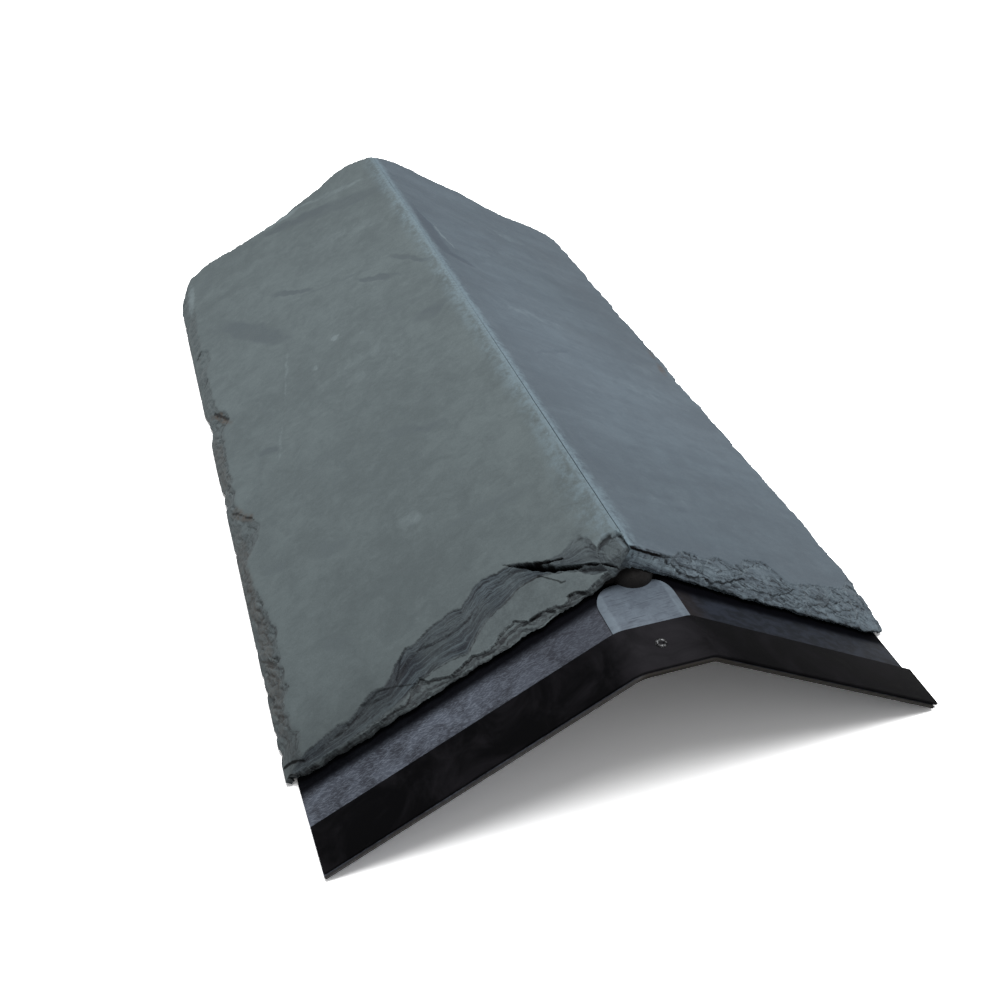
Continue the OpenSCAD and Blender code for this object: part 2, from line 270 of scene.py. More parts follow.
leftSlate = {
    "piece": "leftSlate", "node": "left_slate", "side": -1, "seed": 1,
    "pale": (0.117, 0.144, 0.15, 1), "deep": (0.088, 0.109, 0.115, 1),
    "patch": (0.078, 0.096, 0.106, 1), "bright": (0.158, 0.195, 0.206, 1),
    "roughPale": (0.105, 0.127, 0.134, 1), "roughDark": (0.04, 0.047, 0.052, 1),
    "grain": 92,  # degrees from the ridge
    "shares": (0.33, 0.3, 0.14, 0.13, 0.08),  # clouds, blotches, streaks, fibres and wisps in the face
    "haze": (0.011, 0.017),  # how far the scraped border of the ridge reaches, at the back and the front
    # from the ridge outwards: where the riven face ends, a step halfway down the scar, the back of the
    # smooth ledge at its foot, and the ragged chips along the front
    "breakLine": [(0, 7), (7, 6), (14, 11), (22, 17.5), (30, 24), (36, 29), (43, 34), (50, 34), (57, 35.8),
        (62, 34.3), (66, 31.5), (71, 27.5), (77, 30), (88, 28), (97, 24.5), (101, 26), (108, 21),
        (112, 16), (116, 13.5), (122, 15), (130, 11.5), (136, 8.5), (141, 10), (150, 8), (160, 6.5),
        (175, 6)],
    "middleLine": [(0, 6), (36, 26), (40, 29.5), (46, 31.5), (54, 30), (60, 27), (66, 23.5), (72, 21.5),
        (80, 20.5), (88, 21), (96, 22.5), (100, 21.5), (105, 18), (110, 13.5), (115, 10.8), (126, 11.3),
        (132, 8.5), (140, 7), (150, 5.5), (158, 4.5), (175, 4)],
    "ledgeLine": [(0, 5), (7, 4), (14, 9.5), (22, 14.5), (30, 19.5), (36, 22.5), (45, 22.5), (52, 20.3),
        (65, 16), (71, 12), (77, 7), (84, 9), (92, 9.5), (100, 8.5), (108, 6), (116, 3.5), (130, 2),
        (175, 1)],
    "chipLine": [(0, 2), (10, 2.5), (18, 1.6), (20, 1.2), (24, 3), (28, 4.8), (29.5, 2.2), (33, 1.8),
        (36, 3.6), (42, 5.6), (48, 4.4), (49, 5.4), (54, 8.8), (58, 8), (62, 6), (68, 2.6), (70, 3.2),
        (74, 4.4), (80, 4), (86, 2.6), (88, 1.8), (93, 4), (97, 6.4), (101, 8.8), (104, 8), (108, 5),
        (111, 2.4), (113, 2.6), (118, 2.4), (124, 1.6), (130, 1.2), (150, 1.2), (175, 1.4)],
    "underBreak": 0.75, "overMiddle": 7.3, "underMiddle": 6.5, "ledgeHeight": 5.0, "wall": 1.7,
    # what the edges have lost: at the front and back from the ridge outwards, and the outer back corner
    "frontWaste": [(-6, 3.4), (2, 2.6), (8, 1.6), (14, 0.6), (25, 0), (140, 0.2), (165, 1.2), (175, 2.6)],
    "backLine": [(-6, 17), (0, 12), (5, 9), (10, 6), (16, 3.5), (22, 2.4), (28, 3.5), (40, 8), (50, 10),
        (60, 10), (70, 13), (82, 14), (100, 13.5), (120, 11), (130, 9), (140, 7), (148, 9), (157, 12),
        (175, 38)],
    "outerClip": 13,
    # from front to back: width of the outer edge's slope, how rough it is, and how rough it looks
    "sideRun": [(0, 15), (20, 14), (27, 13), (34, 11), (45, 16), (60, 14), (80, 17), (100, 13), (130, 10),
        (141, 11), (149, 19), (158, 22), (166, 20), (175, 14), (184, 11), (205, 10), (230, 12), (258, 14),
        (264, 19), (270, 17), (286, 10), (292, 12), (330, 13), (340, 17), (352, 18), (358, 12), (380, 13),
        (472, 11)],
    "sideRough": [(0, 0.08), (18, 0.1), (28, 0.8), (135, 0.75), (143, 0.3), (170, 0.3), (180, 0.7),
        (250, 0.6), (300, 0.4), (472, 0.35)],
    "calm": [(0, 0.66), (60, 0.64), (200, 0.56), (280, 0.5), (320, 0.3), (472, 0.28)],
    "fineFront": 46, "fineSide": 22,  # how far in the grid is finer
    # patches on the riven face: (s, y, half length, half width, turn, strength)
    "marks": [(124, 338, 42, 8, 58, -0.62), (89, 352, 19, 2.4, 44, -0.6), (34, 305, 20, 2.4, 43, -0.6),
        (13, 306, 15, 2.4, 57, -0.6), (3, 291, 7, 2, 40, -0.5), (40, 424, 54, 8, 28, -0.5),
        (70, 440, 30, 4, 20, -0.5), (146, 436, 20, 7, -60, -0.35), (77, 455, 26, 3, 4, 0.7),
        (30, 441, 30, 3, 24, 0.4), (161, 430, 20, 4, -80, 0.6), (112, 268, 27, 1.3, -76, 0.45),
        (114, 268, 27, 1.1, -76, -0.3), (128, 212, 16, 1.3, -74, 0.4), (137, 212, 8, 3.5, 30, -0.6),
        (77, 97, 13, 6, 80, 0.3), (78, 90, 7, 8, 0, 0.12), (60, 330, 34, 1.6, 24, -0.3),
        (88, 225, 9, 3, 30, -0.35), (104, 176, 10, 4, 30, -0.35), (61, 157, 12, 5, 30, -0.5),
        (48, 147, 8, 4, 30, -0.45), (19, 238, 10, 6, 22, -0.5), (11, 240, 8, 5, 22, -0.4),
        (74, 274, 3, 2, 0, 0.6), (93, 258, 4, 2, 30, 0.5), (58, 262, 2, 1.4, 0, 0.4),
        (30, 262, 20, 2, 22, -0.3), (75, 88, 8, 3, 0, -0.3), (120, 110, 14, 6, 20, -0.35),
        (40, 72, 26, 5, 10, -0.3), (100, 66, 24, 4, 4, -0.3), (132, 54, 12, 5, 40, -0.35),
        (150, 120, 9, 4, 30, -0.35), (60, 230, 30, 16, 20, 0.2), (40, 380, 40, 10, 24, 0.2)],
    "stains": [(161, 272, 14, 2.4, 60, 1.0), (161, 175, 11, 2.4, 55, 0.8), (167, 70, 48, 5, 90, 0.45),
        (169, 140, 34, 5, 90, 0.35), (169, 230, 34, 5, 90, 0.35)],
    # dark splits: (points, half width, strength)
    "cuts": [([(167, 183), (161, 175), (155, 166.5)], 0.9, 0.65), ([(160, 4.4), (171.5, 9.8)], 0.8, 0.9),
        ([(160, -0.4), (171, 3.3)], 0.8, 0.9), ([(164, 282), (155.4, 266)], 1.0, 0.62),
        ([(162, 321), (168, 318)], 0.8, 0.6), ([(160, 358), (168, 355)], 0.8, 0.6),
        ([(162, 234), (168, 231)], 0.8, 0.5), ([(156, 401), (161, 398)], 0.7, 0.5),
        ([(25.7, 12), (27.9, 12.7), (30.7, 17.1), (35.3, 22.2)], 0.45, 0.7),
        ([(36.5, 2.9), (40.7, 5.0), (47, 5.2)], 0.6, 0.8),
        ([(21.6, 1.4), (24.5, 4.0), (29, 4.6)], 0.6, 0.8),
        ([(103, 8.4), (111, 12.0), (120, 13.6), (128, 11.6)], 0.5, 0.6),
        ([(100, 27), (105, 22), (110, 14)], 0.5, 0.6)],
    # wide changes of tone, most of them painted shade towards the front: (s, y, half length, half width,
    # change)
    "shades": [(110, 0, 150, 120, -0.21), (175, 120, 60, 120, -0.05), (20, 470, 120, 70, -0.05),
        (140, 8, 34, 14, -0.16)],
    "crack": {  # the deep cleft beside the scar, and its branch
        "line": [(4, 3.2), (8.5, 6.6), (13, 10.4), (16, 12.3), (20, 14.6), (25, 17.9), (30, 21.8),
            (35, 26.5), (40, 30.6), (46, 35.4)],
        "branch": [(22, 20.6), (26, 22.4), (30, 24.3), (34, 27)],
        "halfWidth": [(4, 0.3), (9, 0.5), (13, 0.5), (20, 0.75), (26, 1.0), (31, 1.3), (36, 1.15),
            (41, 0.5), (46, 0.2)],
        "floor": 3.2, "branchDepth": 2.2,
    },
    "fan": {  # thin scar between the cleft and the ridge
        "line": [(6, 9), (7, 13.9), (8.1, 20.7), (9.5, 26), (11.4, 29.6), (13, 28.5), (17, 25),
            (21.4, 23.2), (30, 24.6), (36, 28)],
        "from": 6, "to": 36, "depth": 2.2,
    },
    "lens": [(6, 2.6), (10, 4.0), (14, 5.6), (17, 8.6), (19.4, 12.8)],  # shallow chip under the cleft
    "lump": {"s": 1.6, "y": 7.6, "breadth": 7.2, "length": 9.6, "reach": 9.5},  # rough boss on the corner
}

rightSlate = {
    "piece": "rightSlate", "node": "right_slate", "side": 1, "seed": 2,
    # colours a little bluer than the left slate's, partly its own tone and partly a painted reflection of the
    # sky
    "pale": (0.102, 0.132, 0.157, 1), "deep": (0.078, 0.101, 0.123, 1),
    "patch": (0.066, 0.085, 0.107, 1), "bright": (0.15, 0.192, 0.216, 1),
    "roughPale": (0.127, 0.163, 0.19, 1), "roughDark": (0.056, 0.072, 0.088, 1),
    "grain": 84, "shares": (0.24, 0.22, 0.13, 0.1, 0.28), "haze": (0.006, 0.009),
    "breakLine": [(-6, 4.0), (0, 4.2), (8, 4.3), (14, 4.8), (20, 6.8), (26, 10.5), (31, 13.2), (37, 13),
        (42, 10.8), (48, 14.2), (55, 16.4), (60, 15), (64, 13.6), (68, 15.5), (74, 20.6), (82, 23),
        (90, 25), (94, 23.4), (98, 16), (101, 12), (106, 12.6), (114, 15.5), (122, 17), (132, 19),
        (141, 20.3), (148, 21.5), (155, 26), (162, 32), (169, 38), (175, 42)],
    "wall": 1.6,
    "frontWaste": [(-6, 2.2), (12, 1.6), (35, 1.5), (56, 0.8), (66, 0), (86, 0), (91, 0.9), (97, 0.9),
        (101, 0), (125, 0), (133, 0.5), (160, 0.1), (168, 1.5), (175, 4)],
    "backLine": [(-6, 18), (0, 14), (5, 9.5), (10, 8), (15, 5), (20, 4), (30, 2.4), (38, 5), (45, 6),
        (60, 5), (75, 3.4), (82, 5.5), (90, 7), (97, 11), (103, 8.5), (110, 11.5), (120, 9.5), (130, 6.5),
        (140, 3.6), (148, 2.4), (157, 2.2), (162, 3), (166, 8), (175, 14)],
    "outerClip": 0,
    "sideRun": [(0, 9), (40, 6), (100, 4.5), (150, 6), (200, 4.5), (235, 7), (262, 4.5), (335, 7),
        (352, 4), (472, 5)],
    "sideRough": [(0, 0.6)], "calm": [(0, 0.58)],
    "fineFront": 44, "fineSide": 12,
    "marks": [(4, 334, 38, 6, 90, -0.75), (11, 340, 28, 1.4, -78, 0.8), (15, 297, 10, 4, -20, -0.65),
        (10, 190, 170, 5, 90, -0.25), (42, 196, 22, 2, 34, -0.5), (30, 210, 24, 7, 20, -0.25),
        (132, 230, 13, 8, 20, 0.3), (120, 311, 22, 8, 10, -0.3), (94, 401, 24, 8, 20, 0.3),
        (70, 292, 30, 9, 4, -0.3), (60, 340, 40, 12, 50, 0.2), (84, 150, 40, 8, 45, -0.15),
        (50, 60, 30, 8, 30, 0.2), (52, 246, 34, 6, 2, 0.3), (120, 190, 34, 7, 2, 0.25)],
    "stains": [(160, 247, 9, 3, 70, 1.0), (164, 270, 9, 2.5, 80, 0.8)],
    "cuts": [([(15, 4.4), (21, 4.6), (27, 4.2), (33, 3.0), (38, 3.4)], 0.45, 0.8),
        ([(41, 4.6), (46, 3.0), (53, 3.4), (58, 5.0), (61, 6.8), (68, 8)], 0.5, 0.85),
        ([(64, 6.2), (70, 4.4), (80, 4.6), (90, 6.0), (99, 8), (104, 10)], 0.4, 0.7),
        ([(30.9, 13.0), (36, 10.6), (43, 9.6)], 0.35, 0.5), ([(54, 15.4), (60, 11), (64, 12)], 0.35, 0.5),
        ([(22, 7), (30, 5.8), (40, 6.6)], 0.4, 0.6), ([(108, 10), (120, 9), (131, 13)], 0.4, 0.5),
        ([(112, 5), (126, 7), (140, 12), (150, 14)], 0.4, 0.5),
        ([(130, 5), (146, 8), (158, 14)], 0.4, 0.45)],
    # smooth bulging scallops between the splits: (s, y, half length, half width, turn, rise)
    "lobes": [(53, 9, 11.5, 7, 28, 1.0), (85, 12, 21.5, 7.5, 18, 1.1), (29, 8, 8, 4, 0, 0.6),
        (12, 2.4, 11, 1.4, 5, 0.4), (72, 1.6, 9, 2.4, -10, 0.7), (124, 12, 11, 4.5, 15, 0.7),
        (145, 8, 11, 5, 20, 0.7), (160, 20, 9, 6, 30, 0.7)],
    # wide changes of tone and painted light: painted shade at the front and along the ridge, painted
    # highlight on the front wall by the ridge
    "shades": [(60, 190, 90, 70, 0.14), (90, 36, 90, 60, -0.13), (12, 0, 22, 4.5, 0.5),
        (0, 250, 22, 150, -0.12), (100, 400, 90, 70, -0.06), (130, 290, 50, 60, -0.06),
        (90, 366, 60, 12, 0.07)],
}


def slateMaterial(slate):
    side, looks = slate["side"], {**slates, **slate}
    made, inputs, place = startMaterial(slate["piece"] + "Rock", slates["roughness"], slates["specular"])

    def fromMesh(key):
        return addNode(made.node_tree, "Attribute", attribute_name=key).outputs["Fac"]

    wing = turned(place, rotation=(0, -side * pitch, 0))  # z is now square to the wing
    aimed = turned(wing, rotation=(0, 0, side * radians(slate["grain"])))
    grainPlace = turned(aimed, scale=(1, 0.5, 1))

    def rock(key, vector=wing):
        return noisy(vector, *slates[key])

    # riven face: faint clouds and grain, with the marked patches on it
    clouds, blotches, grain = rock("clouds"), rock("blotches"), rock("grain")
    streaks, fibres = rock("streaks", grainPlace), rock("fibres", grainPlace)
    wisps = rock("wisps", turned(aimed, scale=(1, 0.2, 1)))
    tone = blend(slate["shares"], (clouds, blotches, streaks, fibres, wisps))
    colour = mixColour(remap(tone, 0.39, 0.61), slate["deep"], slate["pale"])
    pits = remap(rock("pits"), 0.6, 0.72, 0, 0.45)
    colour = coats(colour, looks, (pits, "patch"), (remap(fibres, 0.66, 0.8, 0, 0.35), "bright"))

    # broken edges: splinters in strata, so their lines follow the height
    broken, steep, hollow = fromMesh("broken"), fromMesh("steep"), fromMesh("hollow")
    flakes, crumbs = rock("flakes"), rock("crumbs")
    wingX, wingY, _ = axesOf(wing)

    def contours(key, spacing, reach):
        # runs across the layers, and slowly along them
        parts = times(fromMesh(key), spacing), times(wingX, reach), times(wingY, reach)
        return wired("CombineXYZ", dict(enumerate(parts)))

    def thinLines(vector, scale, breadth):
        return remap(absolute(minus(noisy(vector, scale, 2, 0.6, 0.2), 0.5)), breadth, 0.0)

    strata = contours("level", 9.0, 55.0)
    layers = noisy(strata, 1.0, 4, 0.7, 0.2)
    ink = blend((0.3, 0.2, 0.5), (flakes, crumbs, layers))
    rough = mixColour(remap(ink, 0.4, 0.6), slate["roughDark"], slate["roughPale"])
    splits = times(thinLines(strata, 1.1, 0.04), remap(steep, 0.1, 0.4, 0, 0.75))
    splintered = times(broken, remap(steep, 0.05, 0.5, 0.35, 1.0))
    colour = mixColour(splintered, colour, coats(rough, looks, (splits, "creviceAndShade")))
    # painted highlight on the convex crests of the broken rock
    crestHighlight = times(remap(hollow, 0.44, 0.1, 0, slates["crestHighlightShare"]), broken)
    colour = coats(colour, looks, (crestHighlight, "bright"))

    # stepped scars: the ends of the layers run along them as fine contour lines
    across = contours("flow", slates["scarLines"], 26.0)
    lines = noisy(across, 1.0, 4, 0.72, 0.15)
    scarTone = mixColour(remap(lines, 0.39, 0.62), slates["scarDark"], slates["scarPale"])
    scarTone = coats(scarTone, looks, (thinLines(across, 1.9, 0.035), "creviceAndShade"),
                     (remap(crumbs, 0.55, 0.8, 0, 0.35), "bright"))
    colour = mixColour(fromMesh("scar"), colour, scarTone)
    # painted shade in the hollows of the broken rock
    creviceAndShade = times(remap(hollow, 0.58, 0.95, 0, slates["hollowShadeShare"]), broken)
    colour = coats(colour, looks, (creviceAndShade, "creviceAndShade"))

    # marked patches, ragged at their borders, and brown stains
    patch = fromMesh("tone")
    ragged = plus(blend((3.4, 1.2, 1.6), (blotches, fibres, clouds)), -2.1)
    sunk = times(minus(0.5, patch), ragged)
    raised = times(minus(patch, 0.5), ragged)
    stain = times(fromMesh("rust"), remap(flakes, 0.35, 0.6, 0.1, 0.65))
    colour = coats(colour, looks, (remap(sunk, 0.04, 0.4, 0, 0.8), "patch"),
                   (remap(raised, 0.04, 0.42, 0, 0.75), "bright"), (stain, "rust"))

    # rubbed pale arris along the ridge, scraped further down the left slate
    placeX, placeY, _ = axesOf(place)
    fromRidge = absolute(placeX)
    wander = times(noisy(wing, 150, 5, 0.75), 0.003)
    rubbed = remap(plus(fromRidge, wander), 0.003, 0.0048, 0.85, 0.0)
    scraped = remap(blend((0.5, 0.5), (noisy(wing, 330, 4, 0.7), blotches)), 0.4, 0.64)
    mottled = remap(noisy(wing, 500, 4, 0.7), 0.36, 0.56, 0.45, 1.0)
    reach = remap(remap(placeY, -0.08, -0.19), 0, 1, *slate["haze"])
    haze = times(remap(fromRidge, 0.002, reach, 0.75, 0.0), scraped)
    rubbed = maths("MAXIMUM", times(rubbed, mottled), haze)
    rubbed = times(rubbed, minus(1.0, times(broken, 0.95)))
    # painted highlight on the pale rims above the right slate's break line and on the upper side of its
    # bulges
    crestHighlight = times(fromMesh("crestHighlight"), remap(crumbs, 0.4, 0.6, 0.2, 1.0))
    # black for the dark splits and for painted shade under steps and in the cleft
    dark = fromMesh("dark")
    if side > 0:  # the cleft close under the face by the ridge
        level = plus(fromMesh("level"), times(flakes, 0.12))
        band = remap(absolute(minus(level, slates["seamLevel"])), 0.09, 0.03)
        dark = maths("MAXIMUM", dark, times(band, fromMesh("seam")))
    colour = coats(colour, looks, (rubbed, "arris"), (crestHighlight, "bright"), (dark, "cleft"))
    speckle = mixColour(grain, (0.2, 0.2, 0.2, 1), (0.8, 0.8, 0.8, 1))
    colour = mixColour(slates["grainShare"], colour, speckle, "OVERLAY")
    # tone patches and painted light, multiplied over the colour
    colour = mixColour(1.0, colour, fromMesh("toneAndLight"), "MULTIPLY")
    feed(inputs["Base Color"], colour)

    # relief too fine for the mesh
    faceBump = blend((0.35, 0.2, 0.2, 0.25), (blotches, streaks, fibres, grain))
    edgeBump = times(blend((0.35, 0.25, 0.4), (flakes, crumbs, layers)), broken)
    normal = bumped(faceBump, *slates["faceRelief"])
    feed(inputs["Normal"], bumped(edgeBump, *slates["edgeRelief"], Normal=normal))
    feed(inputs["Roughness"], remap(clouds, 0.3, 0.7, 0.68, 0.8))
    feed(inputs["Specular IOR Level"], remap(dark, 0, 1, slates["specular"], 0.03))
    return made


def frontWaste(slate, s):
    bites = 0.5 + 1.3 * wavy(s, 0, 8, slate["seed"]) + 0.9 * abs(wavy(s, 0, 2.4, slate["seed"] + 1))
    return max(0.1, along(slate["frontWaste"], s) + bites)


def sideWaste(slate, y):
    bites = 1.0 + 2.6 * wavy(y, 0, 24, slate["seed"] + 5) + 2.2 * wavy(y, 0, 7, slate["seed"] + 6)
    return max(0.05, bites + 0.6 * abs(wavy(y, 0, 2.2, slate["seed"] + 8)))


def backWaste(slate, s):
    bites = 0.6 * wavy(s, 0, 6, slate["seed"] + 3) + 0.8 * abs(wavy(s, 0, 1.9, slate["seed"] + 4))
    return max(0.3, along(slate["backLine"], s) - 2.2 + bites)


def markAt(marks, s, y, seed):
    # sum of the soft patches at this place
    total = 0
    for place, distance, length, breadth, turn, strength in marks:
        if abs(s - place) + abs(y - distance) > 2.2 * length + 2 * breadth:
            continue
        loose = min(breadth + 1.2, 4) / 4
        ds = s - place + loose * (2.4 * wavy(s, y, 9, seed) + 1.2 * wavy(s, y, 3.5, seed + 2))
        dy = y - distance + loose * (2.4 * wavy(s, y, 9, seed + 1) + 1.2 * wavy(s, y, 3.5, seed + 3))
        lengthwise, across = swung(ds, dy, turn)
        r = sqrt((lengthwise / length) ** 2 + (across / breadth) ** 2)
        total += strength * ease((1.35 - r) / 0.75)
    return clamp(total, -1, 1)


# wide changes of tone and painted light at this place, as a factor on the colour
def toneAndLightAt(shades, s, y):
    total = 1
    for place, distance, length, breadth, change in shades:
        total += change * 2 ** -(((s - place) / length) ** 2 + ((y - distance) / breadth) ** 2)
    return total


def cutAt(cuts, s, y):
    # how strongly a dark split shows at this place
    strongest = 0
    for points, half, strength in cuts:
        if not points[0][0] - 3 < s < points[-1][0] + 3 and not points[-1][0] - 3 < s < points[0][0] + 3:
            continue
        shifted = Vector((s + 0.5 * wavy(s, y, 4, half), y + 0.5 * wavy(s, y, 3, half + 1)))
        for a, b in zip(points, points[1:]):
            start, run = Vector(a), Vector(b) - Vector(a)
            share = clamp((shifted - start).dot(run) / run.length_squared)
            away = (shifted - start - run * share).length / (half * (0.85 + 0.75 * wavy(s, y, 3.5, 5)) + 0.01)
            if 0 <= away < 1.3:
                strongest = max(strongest, strength * ease((1.3 - away) / 0.6))
    return strongest


def rivenDrop(slate, s, y):
    # how far the riven face lies under the slate's full thickness
    seed = slate["seed"]
    drop = slates["rivenWave"] * (0.5 + 0.5 * wavy(s, y * 0.6, 60, seed + 7))
    return drop + 0.12 * abs(wavy(s + y * 0.7, y * 0.3, 14, seed + 8))


def chipped(s, y, lean, seed):
    # broken rock, about -1 to 1: small tilted facets with creases between them
    p, q = swung(s, y, lean)
    p += 0.8 * wavy(s, y, 7, seed)
    q += 0.6 * wavy(s, y, 4, seed + 1)
    points = noise.voronoi(Vector((p * 0.15, q / 2.6, seed)))[1]
    facets = 0.4 * (noise.cell(points[0] * 7.3) * 2 - 1) + 0.45 * wavy(p * 0.45, q, 2.6, seed + 3)
    crease = max(0, 1 - abs(wavy(p * 0.22, q, 3.2, seed + 4)) / 0.1)
    crease *= ease(0.35 + 1.3 * wavy(p * 0.4, q, 7, seed + 6))
    return facets + 0.22 * wavy(p * 0.6, q, 1.1, seed + 5) - 0.9 * crease


# each front's height function gives the height, how strongly a scar's contour lines show, where this place
# lies across the scar, and how dark it is painted, for a split or for painted shade under a step or in a
# cleft, or below nought how strong the painted highlight on a crest is

def leftFront(s, y, slate, top):
    # stepped scar, smooth ledge and chipped foot of the left slate's front
    seed = slate["seed"]
    jag = 0.7 * wavy(s, 0, 4, seed + 9) + 0.45 * wavy(s, 0, 1.5, seed + 10)
    breakY = along(slate["breakLine"], s) + jag
    if y >= breakY:
        return top, 0, 0, 0
    middleY = min(along(slate["middleLine"], s) + 0.5 * wavy(s, 0, 6, seed + 11), breakY - 1.3)
    ledgeY = min(along(slate["ledgeLine"], s) + 0.5 * wavy(s, 0, 5, seed + 12), middleY - 1.3)
    ledge = slate["ledgeHeight"]
    scar = flow = dark = 0
    if y > ledgeY:
        height = along([(ledgeY, ledge), (ledgeY + 0.5, ledge + 0.45), (middleY - 0.3, slate["underMiddle"]),
                        (middleY + 0.4, slate["overMiddle"]), (breakY - 0.6, top - slate["underBreak"]),
                        (breakY, top)], y)
        warp = 0.35 * wavy(s, y, 12, seed + 13) + 0.12 * wavy(s, y, 3.5, seed + 14)
        height = stepped(height + warp, 0.5, 0.35) - warp + 0.15 * wavy(s * 0.5, y, 2.4, seed + 15)
        height = min(height, top - 0.25)
        flow = (y - ledgeY) / (breakY - ledgeY) + 0.02 * wavy(s, y, 4, seed + 27)
        scar = clamp(min((breakY - y) / 0.5, (y - ledgeY) / 0.9)) * (0.82 + 0.5 * wavy(s, y, 14, seed + 28))
        # painted shade just under the break line and under the middle step
        dark = 0.7 * ease(1 - (breakY - y) / 0.8) * ease(0.3 + 1.5 * wavy(s, 0, 7, seed + 29))
        below = 0.6 * ease(1 - abs(y - middleY) / 0.6) * ease(0.2 + 1.5 * wavy(s, 0, 6, seed + 30))
        dark = max(dark, below)
    else:
        height = ledge - 0.05 * (ledgeY - y) + 0.12 * wavy(s, y, 9, seed + 16)
    lowest = frontWaste(slate, s)
    chipY = along(slate["chipLine"], s) * (1 + 0.25 * wavy(s, 0, 3, seed + 17)) + lowest * 0.5
    if y < chipY:
        share = clamp((y - lowest) / max(chipY - lowest, 0.8))
        wall = slate["wall"] + 0.7 * wavy(s, 0, 3, seed + 18)
        foot = wall + (height - 0.7 - wall) * share ** 0.7
        layered = stepped(foot + 0.5 * wavy(s * 0.3, y, 2.6, seed + 33), 0.9, 0.5)
        height = min(height, layered + 0.2 * chipped(s, y, 14, seed + 19) * ease(share * 4))
        scar = 0.25 * ease(1.5 * wavy(s * 0.5, y, 6, seed + 34))
    # painted shade under the chip line
    rim = ease(1 - abs(y - chipY + 0.3) / 0.45) * ease(0.1 + 1.8 * wavy(s, 0, 6, seed + 31))
    dark = max(clamp(dark), 0.8 * rim, cutAt(slate["cuts"], s, y))
    return clamp(height, 0.8, top), clamp(scar), flow, dark


def leftHeight(s, y, slate, top):
    height, scar, flow, dark = leftFront(s, y, slate, top)
    seed, crack, fan, lens, lump = (slate[key] for key in ("seed", "crack", "fan", "lens", "lump"))
    crackY = along(crack["line"], s)
    if fan["from"] < s < fan["to"]:
        fanY = along(fan["line"], s) + 0.4 * wavy(s, y, 4, seed + 21)
        if crackY < y < fanY:
            share = (fanY - y) / max(fanY - crackY, 1)
            drop = 0.06 + fan["depth"] * share ** 0.9 * ease((fan["to"] - s) / 12)
            height = min(height, top - stepped(drop + 0.15 * wavy(s, y, 5, seed + 22), 0.35, 0.4))
            scar = ease((fanY - y) / 0.6) * (0.2 + 0.35 * share + 0.2 * ease((s - 12) / 6))
            flow = share * 0.75 + 2
    if lens[0][0] < s < lens[-1][0]:
        lensY = along(lens, s)
        if lensY < y < crackY:
            share = (y - lensY) / max(crackY - lensY, 1)
            height -= 0.5 * ease(share * 3)
            scar, flow = 0.55 * ease(share * 6), share * 0.4 + 4
    ds, dy = (s - lump["s"]) / lump["breadth"], (y - lump["y"]) / lump["length"]
    away = sqrt(ds * ds + dy * dy) * (1 + 0.08 * wavy(s, y, 5, seed + 23))
    if away < 1.08 and s < lump["reach"]:
        boss = thick - 1.5 - 1.6 * max(0, away - 0.55) + 0.25 * chipped(s, y, 60, seed + 24)
        boss -= 5.0 * ease((8 - y) / 6.5) ** 1.3
        share = ease((1.08 - away) / 0.14)
        height += (min(height, boss) - height) * share
        scar += (0.4 - scar) * share
        flow = away * 0.6 + 6 if share > 0.5 else flow
        rim = 0.8 * ease(1 - abs(away - 1) / 0.04) * ease((y - 5) / 4)
        dark = max(dark * (1 - share), 0.85 * rim)
    for line in ("line", "branch"):
        points = crack[line]
        if points[0][0] < s < points[-1][0]:
            middle = along(points, s) + 0.3 * wavy(s, 0, 6, seed + 25)
            half = along(crack["halfWidth"], s) * (1 if line == "line" else 0.5)
            half *= 1 + 0.7 * wavy(s, 0, 2.5, seed + 26)
            away = abs(y - middle) / half
            if away < 1.4:
                depth = height - crack["floor"] if line == "line" else crack["branchDepth"]
                depth *= clamp(half / 1.1)
                height = max(crack["floor"], height - depth * (1 - ease((away - 0.5) / 0.7)))
                # painted shade filling the cleft under its overhanging layer
                dark = max(dark, ease((1.4 - away) / 0.5))
    return height, scar, flow, dark


